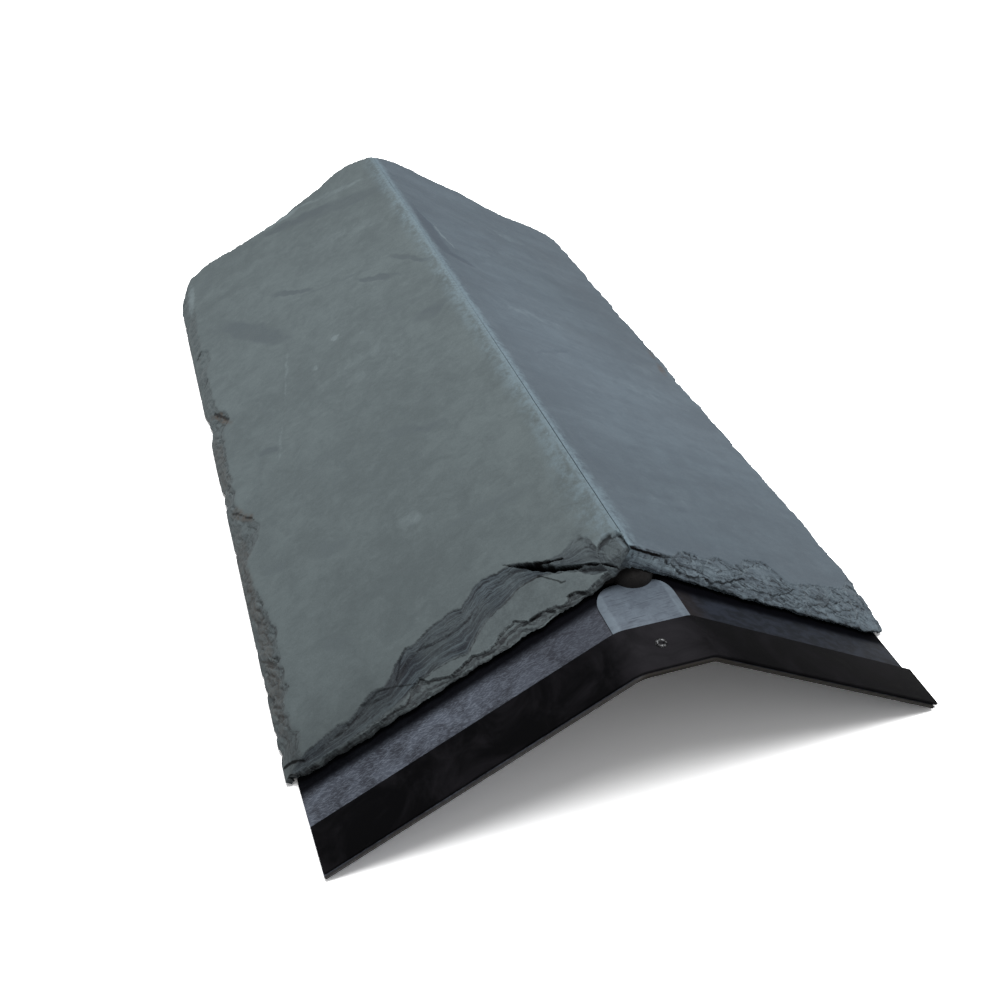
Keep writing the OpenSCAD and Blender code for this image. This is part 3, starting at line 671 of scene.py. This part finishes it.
def rightHeight(s, y, slate, top):
    # scalloped edge of the right slate: smooth bulges and rough rock under a ragged line
    seed = slate["seed"]
    jag = 0.8 * wavy(s, 0, 4.5, seed + 9) + 0.7 * wavy(s, 0, 1.7, seed + 10)
    breakY = along(slate["breakLine"], s) + jag * ease(0.25 + s / 30)
    worn = max(0, 1 - abs(y - 9) / 6) * ease((34 - s) / 20) * 0.35
    if y >= breakY:
        # painted highlight: a pale rim just above the break line
        rim = 0.5 * ease(1 - (y - breakY) / 1.2) * ease(0.3 + 1.5 * wavy(s, 0, 6, seed + 18))
        return top - worn, 0, 0, -rim
    lowest = frontWaste(slate, s)
    share = clamp((y - lowest) / max(breakY - lowest, 1.5))
    wall = slate["wall"] + 0.7 * wavy(s, 0, 4, seed + 11)
    height = wall + (top - 0.35 - wall) * share ** 0.66
    rough, rise, rim = 1, 0, 0
    for place, distance, length, breadth, turn, bulge in slate["lobes"]:
        if abs(s - place) > length * 1.5:
            continue
        lengthwise, across = swung(s - place, y - distance, turn)
        r = sqrt((lengthwise / length) ** 2 + (across / breadth) ** 2) * (1 + 0.1 * wavy(s, y, 5, seed + 19))
        inside = ease((1.1 - r) / 0.25)
        if inside > 0:
            rise = max(rise, bulge * max(0, 1 - r * r))
            rough = min(rough, 1 - 0.6 * inside)
            # painted highlight on the upper rim of each bulge
            upper = ease(across / breadth * 2 + lengthwise / length)
            rim = max(rim, 0.8 * ease(1 - abs(r - 1) / 0.12) * upper)
    freely = ease((1 - share) * 3)
    height += rise * freely
    uneven = 0.5 * wavy(s, y * 1.2, 10, seed + 12) + 0.45 * wavy(s, y * 1.3, 4.5, seed + 13)
    height += uneven * freely * rough
    height += 0.8 * rough * chipped(s, y, -20, seed + 14) * ease(share * 4) * ease((1 - share) * 4 + 0.3)
    # painted shade just under the break line
    hints = 0.55 * ease(1 - (breakY - y) / 0.9) * ease(1.6 * wavy(s, 0, 5, seed + 17)) * ease((s - 16) / 6)
    dark = max(hints, cutAt(slate["cuts"], s, y))
    return clamp(height, 1.0, top - 0.2), 0, 0, dark if dark > 0.1 else -rim


def sideHeight(s, y, slate, top):
    seed = slate["seed"]
    outer = width - sideWaste(slate, y)
    run = along(slate["sideRun"], y) + 1.2 * wavy(y, 0, 6, seed + 30) + 0.8 * wavy(y, 0, 1.8, seed + 31)
    share = (outer - s) / max(run, 2)
    if share >= 1:
        return top
    wall = 1.7 + 0.8 * wavy(y, 0, 5, seed + 32)
    height = wall + (top - 0.3 - wall) * clamp(share) ** 0.62
    height += 0.4 * wavy(s, y, 8, seed + 33) * ease(share * 3) * ease((1 - share) * 3)
    rough = along(slate["sideRough"], y)
    height += rough * chipped(s, y, 57, seed + 34) * ease(share * 3) * ease((1 - share) * 3 + 0.2)
    return clamp(height, 1.0, top - 0.2)


def backHeight(s, y, slate, top):
    seed = slate["seed"]
    run = slates["backRun"] + wavy(s, 0, 7, seed + 40) + 0.7 * wavy(s, 0, 2, seed + 41)
    share = (slateLength - backWaste(slate, s) - y) / max(run, 0.8)
    if share >= 1:
        return top
    wall = 4.5 + 1.5 * wavy(s, 0, 6, seed + 42)
    height = wall + (top - 0.3 - wall) * clamp(share) ** 0.6
    return clamp(height + 0.4 * wavy(s, y, 3, seed + 43), 1.0, top)


def makeGrid(slate):
    # flat grid over the wing, finer towards the dressed edges and along the thin marks
    bm = bmesh.new()
    cell = slates["cell"]
    inner = -thick * tan(pitch)
    span = width - inner
    bmesh.ops.create_grid(bm, x_segments=round(span / cell), y_segments=round(slateLength / cell), size=0.5)
    bmesh.ops.scale(bm, vec=(span, slateLength, 1), verts=bm.verts[:])
    bmesh.ops.translate(bm, vec=((width + inner) / 2, slateLength / 2, 0), verts=bm.verts[:])
    thin = [mark for mark in slate["marks"] if mark[3] < 2.6]

    def wanted(point, level):
        reach = along(slate["breakLine"], point.x) + (6 if 5 < point.x < 36 else 0)
        if point.y < min(slate["fineFront"], reach + 7) - 2 * level:
            return True
        if level > 0:
            return False
        if point.x > width - slate["fineSide"] or point.y > slateLength - slates["fineBack"]:
            return True
        for s, y, half, breadth, *rest in thin:
            if max(abs(point.x - s), abs(point.y - y)) < half + 2:
                if markAt([(s, y, half, breadth + 2.5, *rest)], point.x, point.y, slate["seed"] + 60):
                    return True
        return False

    for level in range(2):
        chosen = [e for e in bm.edges if wanted(e.verts[0].co, level) and wanted(e.verts[1].co, level)]
        bmesh.ops.subdivide_edges(bm, edges=chosen, cuts=1, use_grid_fill=True)
    return bm


def markHollows(bm, layer):
    # how far each vertex lies under its neighbours, 0.5 where level
    under = {}
    for vert in bm.verts:
        near = [e.other_vert(vert).co.z for e in vert.link_edges]
        under[vert] = sum(near) / len(near) - vert.co.z
    for vert in bm.verts:
        near = [under[e.other_vert(vert)] for e in vert.link_edges]
        vert[layer] = clamp(0.5 + 2.2 * (under[vert] + sum(near) / len(near)))


def makeSlate(slate, heightAt):
    bm = makeGrid(slate)
    inner = -thick * tan(pitch)
    side, seed = slate["side"], slate["seed"]
    frontSpread, sideSpread, backSpread = slates["spread"]
    layers = {key: bm.verts.layers.float.new(key) for key in slates["layers"]}
    for vert in bm.verts:
        u, v = vert.co.x, vert.co.y
        s = u - sideWaste(slate, v) * ease((u - width + sideSpread) / sideSpread)
        clip = max(0, s - width + slate["outerClip"]) * slates["clipSlope"]
        y = v + frontWaste(slate, u) * (1 - ease(v / frontSpread))
        y -= max(backWaste(slate, u), clip) * ease((v - slateLength + backSpread) / backSpread)
        tone = markAt(slate["marks"], s, y, seed + 60)
        top = thick - rivenDrop(slate, s, y) + 0.35 * min(0, tone)
        height, scar, flow, dark = heightAt(s, y, slate, top)
        border = min(sideHeight(s, y, slate, top), backHeight(s, y, slate, top))
        ragged = 1.0
        if border < height:  # the outer and back edges are calmer than the front
            scar *= clamp(1 - (height - border) / 1.5)
            ragged = along(slate["calm"], y)
            height = border
            dark = cutAt(slate["cuts"], s, y)
        # worn arris at the ridge
        fromRidge = s * cos(pitch) + height * sin(pitch)
        worn = (slates["arrisWidth"] * cos(pitch) - fromRidge) * tan(pitch / 2)
        height -= max(0, worn + 0.1 * wavy(s, y, 3, 9) + 0.12 * wavy(s, y, 12, 8))
        byRidge = max(ease((fromRidge - 0.6) / 2.5), ease((18 - y) / 3) * ease(top - height - 1.2))
        values = {
            "broken": ragged * ease((top - height - 0.15) / 0.35) * byRidge,
            "scar": scar, "flow": flow, "dark": max(0, dark), "crestHighlight": max(0, -dark),
            "seam": ease((27 - s) / 19 + 0.25 * wavy(s, 0, 5, 4)) * ease((7 - y) / 1.5),
            "toneAndLight": toneAndLightAt(slate["shades"], s, y), "level": height / 10, "tone": 0.5 + 0.5 * tone,
            "rust": max(0, markAt(slate["stains"], s, y, seed + 62)),
        }
        for key, value in values.items():
            vert[layers[key]] = value
        if u < inner + 0.01:  # along the ridge
            tight, wide = slates["tightShare"], ease((slates["tightFrom"] - y) / slates["tightOver"])
            gap = slates["jointGap"] * (tight + (1 - tight) * wide)
            s = gap / cos(pitch) - height * tan(pitch)
        vert.co = (min(s, width - height * tan(pitch) * 0.95), y, height)

    bm.normal_update()
    for vert in bm.verts:
        vert[layers["steep"]] = clamp(sqrt(vert.normal.x ** 2 + vert.normal.y ** 2) / 0.6)
    markHollows(bm, layers["hollow"])

    # walls: down in rings, each a little in and out like the layers
    rings = slates["wallRings"]
    for ring in range(rings):
        border = [e for e in bm.edges if e.is_boundary]
        made = bmesh.ops.extrude_edge_only(bm, edges=border)
        share = (rings - ring - 1) / (rings - ring)
        for vert in [g for g in made["geom"] if isinstance(g, bmesh.types.BMVert)]:
            s, y, height = vert.co
            byJoint = abs(s * cos(pitch) + height * sin(pitch)) < slates["jointGap"] + 0.05
            height *= share
            shift = (0.4 if ring < rings - 1 else 0.2) * (1 + wavy(s + y, ring * 5, 2.2, seed + 50))
            if byJoint:
                s = 0.01 - height * tan(pitch)
            elif s > width - 4:
                s -= shift
            elif y < 8:
                y += shift
            elif y > slateLength - 60:
                y -= shift
            vert.co = (s, y, height)
            values = {"broken": 1, "steep": 1, "hollow": 0.5, "level": height / 10, "scar": 0, "dark": 0,
                      "crestHighlight": 0, "seam": 0}
            for key, value in values.items():
                vert[layers[key]] = value
    base = bmesh.ops.contextual_create(bm, geom=[e for e in bm.edges if e.is_boundary])
    bmesh.ops.triangulate(bm, faces=base["faces"])

    toWorld = Matrix.Translation((0, slateFront, apexUnder)) @ Matrix.Rotation(pitch, 4, "Y")
    mirrored = Matrix.Scale(-1, 4, (1, 0, 0)) if side < 0 else Matrix()
    bmesh.ops.transform(bm, matrix=Matrix.Scale(mm, 4) @ mirrored @ toWorld, verts=bm.verts[:])
    finish(bm, slate["piece"], slateMaterial(slate), slate["node"], sharp=40)


makeSlate(leftSlate, leftHeight)
makeSlate(rightSlate, rightHeight)


# folded metal tray, its joint plate and the rubber strip share one fold

def bendOf(x):
    # radius of the bend on this side, and how far from the middle it starts
    radius = tile["rightBend"] if x > 0 else tile["leftBend"]
    return radius, tile["flatWidth"] / 2 - radius * tan(pitch / 2)


def foldHeight(x, lift):
    # height over the floor at this place across the tile, lift over the tray's upper face
    radius, start = bendOf(x)
    r = radius + lift
    x = abs(x)
    if x <= start:
        return flatTop - radius + r
    if x <= start + r * sin(pitch):
        return flatTop - radius + sqrt(r * r - (x - start) ** 2)
    return flatTop - radius + r * cos(pitch) - (x - start - r * sin(pitch)) * tan(pitch)


def blank(x0, x1, y0, y1):
    bm = bmesh.new()
    bmesh.ops.create_grid(bm, x_segments=1, y_segments=1, size=0.5)
    bmesh.ops.scale(bm, vec=(x1 - x0, y1 - y0, 1), verts=bm.verts[:])
    bmesh.ops.translate(bm, vec=((x0 + x1) / 2, (y0 + y1) / 2, 0), verts=bm.verts[:])
    return bm


def cutAcross(bm, place, direction):
    everything = bm.verts[:] + bm.edges[:] + bm.faces[:]
    bmesh.ops.bisect_plane(bm, geom=everything, dist=0.001, plane_co=place, plane_no=direction)


def rounded(bm, geom, offset, segments, affect):
    bmesh.ops.bevel(bm, geom=geom, offset=offset, segments=segments, profile=0.5, affect=affect,
                    clamp_overlap=True, material=-1)


def toMetres(bm):
    bmesh.ops.scale(bm, vec=(mm, mm, mm), verts=bm.verts[:])


def makeSheet(bm, lift, thickness, rim, name, material, node):
    # cuts a flat blank at the bends, folds it, gives it its thickness and softens its rims
    bendCuts = 10
    for side in (-1, 1):
        radius, start = bendOf(side)
        reach = (radius + lift) * sin(pitch)
        for cut in range(bendCuts + 1):
            cutAcross(bm, (side * (start + reach * cut / bendCuts), 0, 0), (1, 0, 0))
    for vert in bm.verts:
        vert.co.z = foldHeight(vert.co.x, lift)
    bmesh.ops.recalc_face_normals(bm, faces=bm.faces[:])
    if bm.faces[0].normal.z < 0:
        bmesh.ops.reverse_faces(bm, faces=bm.faces[:])
    lower = bmesh.ops.duplicate(bm, geom=bm.faces[:])
    for vert in [g for g in lower["geom"] if isinstance(g, bmesh.types.BMVert)]:
        x = vert.co.x
        radius, start = bendOf(x)
        lean = clamp((abs(x) - start) / (radius + lift), 0, sin(pitch))
        vert.co.x = x - thickness * lean * (1 if x > 0 else -1)
        vert.co.z = foldHeight(vert.co.x, lift - thickness)
    bmesh.ops.bridge_loops(bm, edges=[e for e in bm.edges if e.is_boundary])
    bmesh.ops.recalc_face_normals(bm, faces=bm.faces[:])
    rims = [e for e in bm.edges if len(e.link_faces) == 2 and e.calc_face_angle() > radians(50)]
    rounded(bm, rims, *rim, "EDGES")
    toMetres(bm)
    finish(bm, name, material, node, sharp=30)


tray = {
    "deep": (0.026, 0.029, 0.039, 1), "pale": (0.066, 0.076, 0.099, 1), "dull": (0.012, 0.013, 0.02, 1),
    "rightDeep": (0.007, 0.009, 0.013, 1), "rightPale": (0.016, 0.02, 0.03, 1),
    "stain": (0.024, 0.017, 0.014, 1), "rim": (0.02, 0.018, 0.015, 1), "scratch": (0.158, 0.182, 0.222, 1),
    "slateShadow": (0.0015, 0.0015, 0.0022, 1),
    "slateShadowReach": 6.5,  # painted shadow of the slates' front edges on the tray, reaching this far in front of them
    "strokes": (74, 94, 118),  # directions of the rubbed scratches, in degrees
    # noises: waves to the metre, detail, roughness and distortion
    "clouds": (60, 5, 0.6, 1.0), "scratches": (2200, 2, 0.55), "dents": (160, 4, 0.6, 1.5),
    "streaks": (330, 4, 0.6, 0.4),
    "surface": (0.5, 0.25, 0.1),  # roughness, specular and metallic
    "softRim": (0.25, 2),  # how much the rims are rounded, and in how many steps
}


def trayMaterial():
    made, inputs, place = startMaterial("coatedTray", *tray["surface"])
    placeX, placeY, _ = axesOf(place)
    leftSide = remap(placeX, -0.019, -0.013, 1.0, 0.0)
    clouds = noisy(place, *tray["clouds"])
    colour = mixColour(remap(clouds, 0.35, 0.65), tray["deep"], tray["pale"])
    scratches = 0.0
    for turn in tray["strokes"]:  # short rubbed strokes, crossing
        aimed = turned(place, rotation=(0, 0, radians(turn)))
        lines = turned(aimed, scale=(1, 0.18, 0.09), location=(turn, 0, 0))
        scratches = maths("MAXIMUM", scratches, remap(noisy(lines, *tray["scratches"]), 0.53, 0.68))
    scratches = times(scratches, remap(clouds, 0.3, 0.62, 0.45, 1.0))
    dents = remap(noisy(place, *tray["dents"]), 0.6, 0.7, 0, 0.6)
    # painted shade on the left wing, darker towards the flat, in the dents' dull colour
    shaded = times(remap(placeX, -0.085, -0.018, 0, 0.95), clouds)
    colour = coats(colour, tray, (times(scratches, 0.64), "scratch"), (dents, "dull"), (shaded, "dull"))
    # the right wing is painted darker, as painted shade, with faint streaks along the fold of the strip
    streaks = noisy(turned(place, scale=(0.12, 1, 1)), *tray["streaks"])
    right = mixColour(remap(streaks, 0.38, 0.66), tray["rightDeep"], tray["rightPale"])
    right = coats(right, tray, (times(remap(placeX, 0.034, 0.02, 0, 0.9), clouds), "stain"))
    colour = mixColour(leftSide, right, colour)
    # painted shadow under the slates' front edges: darker, with less gloss and no metal in it
    start = (slateFront - tray["slateShadowReach"]) * mm
    underSlateShadow = remap(plus(placeY, times(clouds, 0.002)), start - 0.001, start + 0.0055, 0, 0.97)
    rim = remap(placeY, trayFront * mm + 0.0007, trayFront * mm + 0.0012, 0.85, 0)
    feed(inputs["Base Color"], coats(colour, tray, (underSlateShadow, "slateShadow"), (rim, "rim")))
    marks = times(scratches, leftSide)
    feed(inputs["Roughness"], remap(marks, 0, 1, 0.6, 0.4))
    gloss = times(remap(leftSide, 0, 1, 0.05, 0.25), remap(underSlateShadow, 0, 0.95, 1, 0.05))
    feed(inputs["Specular IOR Level"], gloss)
    feed(inputs["Metallic"], remap(underSlateShadow, 0, 0.95, 0.1, 0))
    feed(inputs["Normal"], bumped(marks, 0.25, 0.0002))
    return made


def makeTray():
    reach = tile["flatWidth"] / 2 + tile["trayWing"] * cos(pitch)
    bm = blank(-reach, reach, trayFront, trayBack)
    cutAcross(bm, (0, slateFront, 0), (0, 1, 0))
    for vert in bm.verts:
        if vert.co.y < slateFront - 1:
            vert.co.x *= 1 - tile["tongueTaper"] * cos(pitch) / reach
    makeSheet(bm, 0, tile["sheet"], tray["softRim"], "ridgeTray", trayMaterial(), "ridge_tray")


makeTray()


plate = {
    "thickness": 0.6, "width": 35, "corner": 11, "frontGap": 1.5, "lap": 4, "softRim": (0.12, 2),
    "pale": (0.112, 0.138, 0.168, 1), "deep": (0.074, 0.09, 0.114, 1), "line": (0.036, 0.043, 0.056, 1),
    "border": (0.135, 0.168, 0.2, 1), "borderWidth": 4,
    "brush": (1500, 3, 0.65), "brushTurn": -4, "clouds": (240, 5, 0.65, 0.6), "surface": (0.5, 0.3, 0.25),
}


def plateMaterial():
    made, inputs, place = startMaterial("brushedPlate", *plate["surface"])
    across = turned(turned(place, rotation=(0, 0, radians(plate["brushTurn"]))), scale=(0.07, 1, 1))
    brush = noisy(across, *plate["brush"])
    clouds = noisy(place, *plate["clouds"])
    colour = mixColour(remap(clouds, 0.2, 0.75), plate["deep"], plate["pale"])
    # paler borders along both sides, where the brush lines fade
    away = plus(absolute(axesOf(place)[0]), times(clouds, 0.0008))
    start = (plate["width"] / 2 - plate["borderWidth"]) * mm
    border = times(remap(away, start, start + 0.0012, 0, 0.75), remap(clouds, 0.3, 0.6, 0.5, 1))
    lines = remap(brush, 0.53, 0.7, 0, 0.75)
    feed(inputs["Base Color"], coats(colour, plate, (lines, "line"), (border, "border")))
    feed(inputs["Roughness"], remap(brush, 0.3, 0.7, 0.42, 0.6))
    feed(inputs["Normal"], bumped(brush, 0.2, 0.0001))
    return made


def makePlate():
    half, thickness = plate["width"] / 2, plate["thickness"]
    bm = blank(-half, half, trayFront + plate["frontGap"], slateFront + plate["lap"])
    rounded(bm, [v for v in bm.verts if v.co.y > slateFront], plate["corner"], 12, "VERTICES")
    makeSheet(bm, thickness, thickness, plate["softRim"], "jointPlate", plateMaterial(),
              "joint_plate")


makePlate()


strip = {
    "thickness": 1.5, "width": 23, "setback": 1.2, "overhang": 3.5, "softRim": (0.35, 3),
    "colour": (0.0022, 0.0022, 0.0026, 1), "bloom": (0.0085, 0.008, 0.0095, 1),
    "flatSheen": (0.022, 0.021, 0.024, 1),
    "clouds": (45, 6, 0.65, 0.8), "specks": (700, 2, 0.5), "surface": (0.75, 0.02),
}


def stripMaterial():
    made, inputs, place = startMaterial("blackRubber", *strip["surface"])
    clouds = noisy(place, *strip["clouds"])
    colour = mixColour(remap(clouds, 0.4, 0.75), strip["colour"], strip["bloom"])
    # painted sheen: paler over the flat, where it faces up to the light, round the rivet
    middle = remap(absolute(plus(axesOf(place)[0], 0.001)), 0.025, 0.006)
    feed(inputs["Base Color"], coats(colour, strip, (times(middle, clouds), "flatSheen")))
    feed(inputs["Roughness"], remap(clouds, 0.3, 0.7, 0.62, 0.75))
    feed(inputs["Normal"], bumped(noisy(place, *strip["specks"]), 0.12, 0.0002))
    return made


def makeStrip():
    thickness = strip["thickness"]
    front = trayFront + strip["setback"]
    taper = tile["tongueTaper"] / tile["tongueReach"]
    narrow = tile["tongueTaper"] - taper * strip["setback"]
    reach = tile["flatWidth"] / 2 + (tile["trayWing"] - narrow) * cos(pitch)
    bm = blank(-reach, reach + strip["overhang"] * cos(pitch), front, front + strip["width"])
    for vert in bm.verts:
        if vert.co.y > front + 1:
            vert.co.x *= 1 + taper * strip["width"] * cos(pitch) / reach
    makeSheet(bm, thickness, thickness, strip["softRim"], "sealStrip", stripMaterial(),
              "seal_strip")


makeStrip()


# blind rivet: low dull head round its hollow, upset tail below

rivet = {
    "inset": 13, "offset": 2, "head": 5.0, "rise": 0.9, "bore": 1.8, "shank": 3.2, "tail": 4.6, "drop": 1.5,
    "dark": (0.012, 0.012, 0.013, 1), "pale": (0.19, 0.195, 0.2, 1), "marks": (700, 3, 0.6),
    "surface": (0.35, 0.5, 0.8), "turns": 32,
}


def rivetMaterial():
    made, inputs, place = startMaterial("dullRivet", *rivet["surface"])
    # pale patches on the dull metal, partly worn metal and partly painted glints
    marks = remap(noisy(place, *rivet["marks"]), 0.4, 0.65)
    feed(inputs["Base Color"], mixColour(marks, rivet["dark"], rivet["pale"]))
    feed(inputs["Normal"], bumped(marks, 0.4, 0.0003))
    return made


def makeRivet():
    top = flatTop + strip["thickness"]
    under = flatTop - tile["sheet"]
    foot = under - rivet["drop"]
    head, bore, shank, tail = (rivet[key] / 2 for key in ("head", "bore", "shank", "tail"))
    # half section from the hollow over the head, down the shank and round the tail
    outline = [(bore, foot + 0.2), (bore, top + 0.35), (bore + 0.35, top + 0.75)]
    inner, dome = bore + 0.5, [pi / 12 * k for k in range(1, 7)]
    outline += [(inner + (head - inner) * sin(angle), top + rivet["rise"] * cos(angle)) for angle in dome]
    outline += [(shank, top), (shank, under), (tail, under), (tail, under - 0.8), (tail - 0.5, foot)]
    bm = bmesh.new()
    verts = [bm.verts.new((x, 0, z)) for x, z in outline]
    edges = [bm.edges.new((a, b)) for a, b in zip(verts, verts[1:] + verts[:1])]
    bmesh.ops.spin(bm, geom=verts + edges, cent=(0, 0, 0), axis=(0, 0, 1), angle=2 * pi,
                   steps=rivet["turns"], use_merge=True)
    bmesh.ops.remove_doubles(bm, verts=bm.verts[:], dist=0.0005)
    bmesh.ops.translate(bm, vec=(-rivet["offset"], trayFront + rivet["inset"], 0), verts=bm.verts[:])
    toMetres(bm)
    finish(bm, "blindRivet", rivetMaterial(), "rivet", sharp=45)


makeRivet()


# the adhesive keeps its solid and gets a finish

adhesive = {
    "dark": (0.006, 0.0055, 0.0055, 1), "pale": (0.016, 0.0145, 0.014, 1),
    "lumps": (260, 4, 0.6, 0.6), "surface": (0.65, 0.2),
}


def adhesiveMaterial():
    made, inputs, place = startMaterial("darkAdhesive", *adhesive["surface"])
    lumps = noisy(place, *adhesive["lumps"])
    feed(inputs["Base Color"], mixColour(lumps, adhesive["dark"], adhesive["pale"]))
    feed(inputs["Normal"], bumped(lumps, 0.5, 0.001))
    return made


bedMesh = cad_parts["adhesive_bed"].data
bedMesh.materials.clear()
bedMesh.materials.append(adhesiveMaterial())
print("finishes done")


# floor, lamps and camera

studio = {
    "floorSize": 6.0,
    "floorColour": (0.8, 0.8, 0.8, 1),
    "floorSeen": (2.0, 2.0, 2.0, 1),  # what the camera sees of the floor, so that it stays white
    "skyStrength": 0.37,
    "keyPower": 114, "keySize": 1.8, "keyPlace": (0.12, 0.06, 3.2),
}


def makeFloor():
    bm = bmesh.new()
    bmesh.ops.create_grid(bm, x_segments=1, y_segments=1, size=studio["floorSize"] / 2)
    floorPiece = addMesh(bm, "floor")
    made = bpy.data.materials.new("paleFloor")
    made.use_nodes = True
    tree = made.node_tree
    tree.nodes.clear()
    seen = addNode(tree, "LightPath").outputs["Is Camera Ray"]
    matt = wired("BsdfDiffuse", {"Color": mixColour(seen, studio["floorColour"], studio["floorSeen"])})
    feed(addNode(tree, "OutputMaterial").inputs["Surface"], matt)
    floorPiece.data.materials.append(made)


def makeLamp():
    lamp = bpy.data.lights.new("keyLamp", "AREA")
    lamp.energy = studio["keyPower"]
    lamp.size = studio["keySize"]
    holder = addObject("keyLamp", lamp)
    holder.location = studio["keyPlace"]
    holder.rotation_euler = (-holder.location).to_track_quat("-Z", "Y").to_euler()


def makeSky():
    world = bpy.data.worlds.new("paleRoom")
    bpy.context.scene.world = world
    world.use_nodes = True
    tree = world.node_tree
    tree.nodes.clear()
    paths = addNode(tree, "LightPath").outputs
    seen = maths("MAXIMUM", paths["Is Camera Ray"], paths["Is Transmission Ray"])
    strength = remap(seen, 0, 1, studio["skyStrength"], 1.0)
    back = wired("Background", {"Color": (1, 1, 1, 1), "Strength": strength})
    feed(addNode(tree, "OutputWorld").inputs["Surface"], back)


view = {
    "place": (-0.16531, -0.2362, 0.37988),  # y from the tongue's front
    "heading": 20.425,  # degrees from the ridge, towards the right
    "tilt": 38.579,  # degrees down
    "roll": 2.268,
    "lens": 37.677, "sensor": 36, "nearest": 0.01,
}


def makeCamera():
    data = bpy.data.cameras.new("camera")
    data.lens = view["lens"]
    data.sensor_width = view["sensor"]
    data.clip_start = view["nearest"]
    holder = addObject("camera", data)
    holder.matrix_world = Matrix.Translation(Vector(view["place"]) + Vector((0, trayFront * mm, 0)))
    for degrees, axis in ((-view["heading"], "Z"), (90 - view["tilt"], "X"), (view["roll"], "Z")):
        holder.matrix_world @= Matrix.Rotation(radians(degrees), 4, axis)
    bpy.context.scene.camera = holder


makeFloor()
makeLamp()
makeSky()
makeCamera()
bpy.context.scene.view_settings.view_transform = "Standard"
print("studio done")
